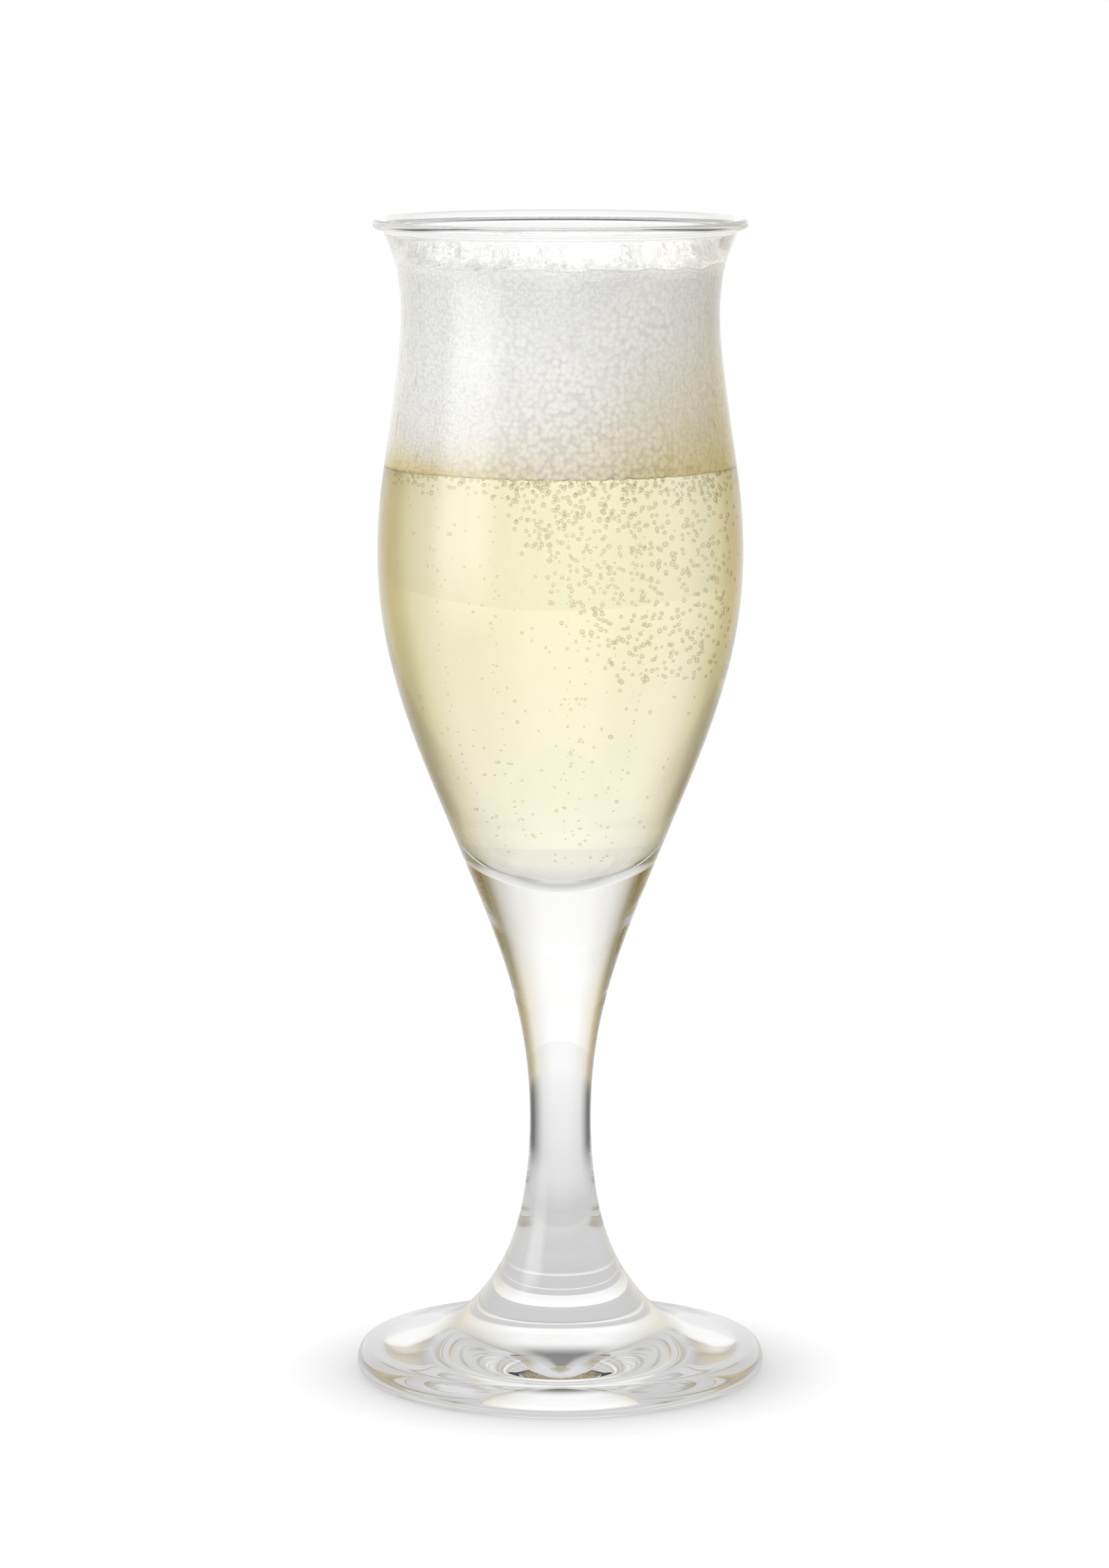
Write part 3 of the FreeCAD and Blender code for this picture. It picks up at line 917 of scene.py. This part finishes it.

# %% [markdown]
# ## Bubbles in the wine
# Seen from inside the wine, a bubble is a lens of air: light near its edge is thrown aside, so it shows
# as a pale spot in a gold ring. The bubble's surface therefore bends light by air against wine, an index
# below one, and a gold tint painted where it is seen edge-on, in its colour and its reflections, stands
# in for that ring as a painted reflection. The bubbles are scattered by rule, with a fixed seed: a dense
# cloud on the right below the foam, where they cling to the front wall, a crowded layer just under the
# foam, thin trails that rise from the floor of the bowl, and a sparse drift elsewhere.

# %% Bubble material
BUBBLE_IOR = 0.95
BUBBLE_CLEAR = 0.84
BUBBLE_MIDDLE, BUBBLE_PAINTED_RING = "#fffef6", "#e2aa2c"
RING_FROM, RING_TO = 0.42, 0.78
HAZE_SPACING, HAZE_MOST = 2 * MM, 0.04
material, tree, output = new_material("air_in_wine")
where = add(tree, "ShaderNodeTexCoord")
haze = add(tree, "ShaderNodeTexNoise", {"Vector": where.outputs["Object"], "Scale": 1 / HAZE_SPACING})
hazy = add(tree, "ShaderNodeMapRange", {"Value": haze.outputs["Fac"], "To Min": 0.0, "To Max": HAZE_MOST})
edge_on = add(tree, "ShaderNodeLayerWeight", {"Blend": 0.5})
edge = add(tree, "ShaderNodeMapRange", {
    "Value": edge_on.outputs["Facing"], "From Min": RING_FROM, "From Max": RING_TO,
})
# Painted reflection: the edge-on gold tint stands in for light that the bubble's edge throws aside.
ring = add(tree, "ShaderNodeMix", {
    0: edge.outputs[0], 6: srgb(BUBBLE_MIDDLE), 7: srgb(BUBBLE_PAINTED_RING),
}, data_type="RGBA")
air = add(tree, "ShaderNodeBsdfPrincipled", {
    "Base Color": ring.outputs[2], "Transmission Weight": BUBBLE_CLEAR, "IOR": BUBBLE_IOR,
    "Roughness": hazy.outputs[0], "Specular Tint": ring.outputs[2],
})
tree.links.new(air.outputs[0], output.inputs["Surface"])
air_in_wine = material
print(material.name, "ring", BUBBLE_PAINTED_RING)

# %% [markdown]
# ## How bubbles are made
# Every bubble is a point with a size. One tree puts a small ball on each point and makes real mesh of
# them, so that a whole kind of bubbles is one piece at true size.

# %% Scatter tree
BALL_DETAIL = 2
scatter, sizes, output = new_tree("scatter_bubbles", [("Material", "NodeSocketMaterial", None)])
ball = add(scatter, "GeometryNodeMeshIcoSphere", {"Radius": 1.0, "Subdivisions": BALL_DETAIL})
size = add(scatter, "GeometryNodeInputNamedAttribute", {"Name": "size"}, data_type="FLOAT_VECTOR")
spread = add(scatter, "GeometryNodeInstanceOnPoints", {
    "Points": sizes.outputs["Geometry"], "Instance": ball.outputs["Mesh"], "Scale": size.outputs["Attribute"],
})
finish_tree(scatter, sizes, output, spread.outputs[0])


def bubbles(name, spots, material):
    """Bubbles at (x, y, z, radius, stretch), where stretch is how much taller than wide one is."""
    mesh = bpy.data.meshes.new(name)
    mesh.from_pydata([spot[:3] for spot in spots], [], [])
    attribute = mesh.attributes.new("size", "FLOAT_VECTOR", "POINT")
    attribute.data.foreach_set("vector", [v for *_, r, tall in spots for v in (r, r, r * tall)])
    piece = grown(name, mesh, scatter, Material=material)
    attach(piece, "root")

# %% [markdown]
# ## Where the bubbles are
# All places are drawn from one seeded source. A bubble is placed by its angle round the bowl, its height
# and how far it stands off the wall. It is kept only if it is clear of those placed before it. A trail is
# only kept clear of the cloud and of the layer under the foam. The sizes of a kind are its usual radius,
# the spread round it, the least and the most, in millimetres. Where a random share is raised to a power,
# the bubbles crowd towards its lower end.

# %% Rules for placing bubbles
dice = random.Random(7)
FRONT = math.radians(-90)
SKIN = 0.12 * MM
TRIES_EACH = 60


def on_wall(angle, height, size, off=0.0, tall=1.0):
    """A bubble that touches the bowl's inside, or stands off it."""
    radius = radius_at(wall, height) - size - SKIN - off
    return (radius * math.cos(angle), radius * math.sin(angle), height, size, tall)


def apart(spots, candidate, gap=1.03):
    """Whether a bubble is clear of all the others."""
    return all(math.dist(candidate[:3], s[:3]) > gap * (candidate[3] + s[3]) for s in spots)


def bubble_radius(usual, spread, least, most):
    """A radius drawn round the usual one, within limits. All are given in millimetres."""
    return min(max(dice.gauss(usual, spread), least), most) * MM


def any_way():
    """An angle anywhere round the bowl."""
    return dice.uniform(0, 2 * math.pi)


def gather(spots, wanted, draw):
    """Draw bubbles until as many as wanted are found that touch no other."""
    found = []
    for _ in range(TRIES_EACH * wanted):
        if len(found) == wanted:
            break
        candidate = draw()
        if candidate and apart(spots + found, candidate):
            found.append(candidate)
    return found

# %% The cloud, the fringe and the drift
CLOUD_COUNT, FRINGE_COUNT, DRIFT_COUNT = 660, 520, 230
CLOUD_SIZES, FRINGE_SIZES = (0.36, 0.06, 0.2, 0.5), (0.27, 0.07, 0.15, 0.42)
DRIFT_SIZES = (0.19, 0.05, 0.1, 0.3)
LEFT_END, RIGHT_END = -0.34, 0.985
CLOUD_GAP, CLOUD_DEPTH, CLOUD_OFF = 0.9 * MM, 33.0 * MM, 6 * MM
LEFT_DEPTH, RIGHT_DEEPER, DEPTH_BLUR = 5.0, 46.0, 2.2
FRINGE_GAP, FRINGE_DEPTH, FRINGE_OFF = 0.25 * MM, 3.2 * MM, 8 * MM
DRIFT_FROM, DRIFT_TO, DRIFT_OFF = 0.06, 0.97, 0.8
DRIFT_STRETCHES = (1.0, 1.0, 1.4)


def in_cloud():
    """A bubble on the front wall, in a cloud that hangs deeper the further right it is."""
    across = dice.uniform(LEFT_END, RIGHT_END)
    share = (across - LEFT_END) / (RIGHT_END - LEFT_END)
    drop = dice.random() ** 1.15 * CLOUD_DEPTH
    if drop > (LEFT_DEPTH + RIGHT_DEEPER * share ** 0.9 + dice.gauss(0, DEPTH_BLUR)) * MM:
        return None
    size = bubble_radius(*CLOUD_SIZES)
    off = dice.random() ** 2 * CLOUD_OFF
    return on_wall(FRONT + math.asin(across), wine_top - CLOUD_GAP - drop, size, off)


def under_foam():
    """A bubble that has risen to the foam and crowds under it."""
    size = bubble_radius(*FRINGE_SIZES)
    drop = FRINGE_GAP + size + dice.random() ** 2.2 * FRINGE_DEPTH
    return on_wall(any_way(), wine_top - drop, size, dice.random() ** 2 * FRINGE_OFF)


def adrift():
    """A small bubble anywhere in the wine, sometimes drawn out tall."""
    height = wine_bottom + (wine_top - wine_bottom) * dice.uniform(DRIFT_FROM, DRIFT_TO)
    size = bubble_radius(*DRIFT_SIZES)
    off = dice.random() ** 1.5 * DRIFT_OFF * radius_at(wall, height)
    return on_wall(any_way(), height, size, off, dice.choice(DRIFT_STRETCHES))


cloud = gather([], CLOUD_COUNT, in_cloud)
fringe = gather(cloud, FRINGE_COUNT, under_foam)
drift = gather(cloud + fringe, DRIFT_COUNT, adrift)
print("cloud", len(cloud), "fringe", len(fringe), "adrift", len(drift))

# %% Trails that rise from the floor of the bowl
TRAILS = ((-0.30, 0.25), (0.12, 0.55), (0.45, -0.35), (-0.62, -0.1), (0.05, -0.72))
TRAIL_FROM, TRAIL_SHORT_OF_TOP = 9 * MM, 4 * MM
TRAIL_SPREAD, TRAIL_WANDER = 0.9, 0.25
TRAIL_STEP, TRAIL_STEP_MORE = 0.9, 2.6
TRAIL_SIZES = (0.16, 0.03, 0.1, 0.24)
for across, deep in TRAILS:
    height = wine_bottom + TRAIL_FROM
    while height < wine_top - TRAIL_SHORT_OF_TOP:
        reach = radius_at(wall, height)
        x = across * reach * TRAIL_SPREAD + dice.gauss(0, TRAIL_WANDER) * MM
        y = deep * reach * TRAIL_SPREAD + dice.gauss(0, TRAIL_WANDER) * MM
        spot = (x, y, height, bubble_radius(*TRAIL_SIZES), 1.0)
        if apart(cloud + fringe, spot):
            drift.append(spot)
        height += (TRAIL_STEP + TRAIL_STEP_MORE * dice.random()) * MM
print("drift with trails", len(drift))

# %% Make the bubbles
bubbles("bubble_cloud", cloud, air_in_wine)
bubbles("bubble_fringe", fringe, air_in_wine)
bubbles("bubble_drift", drift, air_in_wine)

# %% [markdown]
# ## Bubbles on the foam
# Along the top edge of the foam, a few larger bubbles stand free against the glass and on the cream. They
# are films with air on both sides, so light passes almost unbent: only their outlines and small glints
# show.

# %% Film material
FILM_TINT = "#fbfbf8"
FILM_IOR, FILM_CLEAR = 1.12, 0.88
FILM_SPACING, FILM_ROUGH = 1.5 * MM, 0.08
material, tree, output = new_material("wine_film")
where = add(tree, "ShaderNodeTexCoord")
film = add(tree, "ShaderNodeTexNoise", {"Vector": where.outputs["Object"], "Scale": 1 / FILM_SPACING})
film_rough = add(tree, "ShaderNodeMapRange", {
    "Value": film.outputs["Fac"], "To Min": 0.0, "To Max": FILM_ROUGH,
})
clear_film = add(tree, "ShaderNodeBsdfPrincipled", {
    "Base Color": srgb(FILM_TINT), "Transmission Weight": FILM_CLEAR, "IOR": FILM_IOR,
    "Roughness": film_rough.outputs[0],
})
tree.links.new(clear_film.outputs[0], output.inputs["Surface"])
wine_film = material
print(material.name, "index", FILM_IOR)

# %% Bubbles on top
FROTH_COUNT = 420
FROTH_BELOW, FROTH_OFF = 0.9 * MM, 16 * MM
FROTH_SUNK, FROTH_PROUD = -0.6, 0.9
FROTH_SIZES = (0.36, 0.16, 0.2, 0.9)


def on_foam():
    """A bubble that sits half sunk in the top of the foam, most often near the wall."""
    size = bubble_radius(*FROTH_SIZES)
    height = foam_top - FROTH_BELOW + dice.uniform(FROTH_SUNK, FROTH_PROUD) * size
    off = dice.random() ** 3 * FROTH_OFF
    return on_wall(any_way(), height, size, off)


froth_top = gather([], FROTH_COUNT, on_foam)
print("bubbles on the foam", len(froth_top))
bubbles("foam_top_bubbles", froth_top, wine_film)
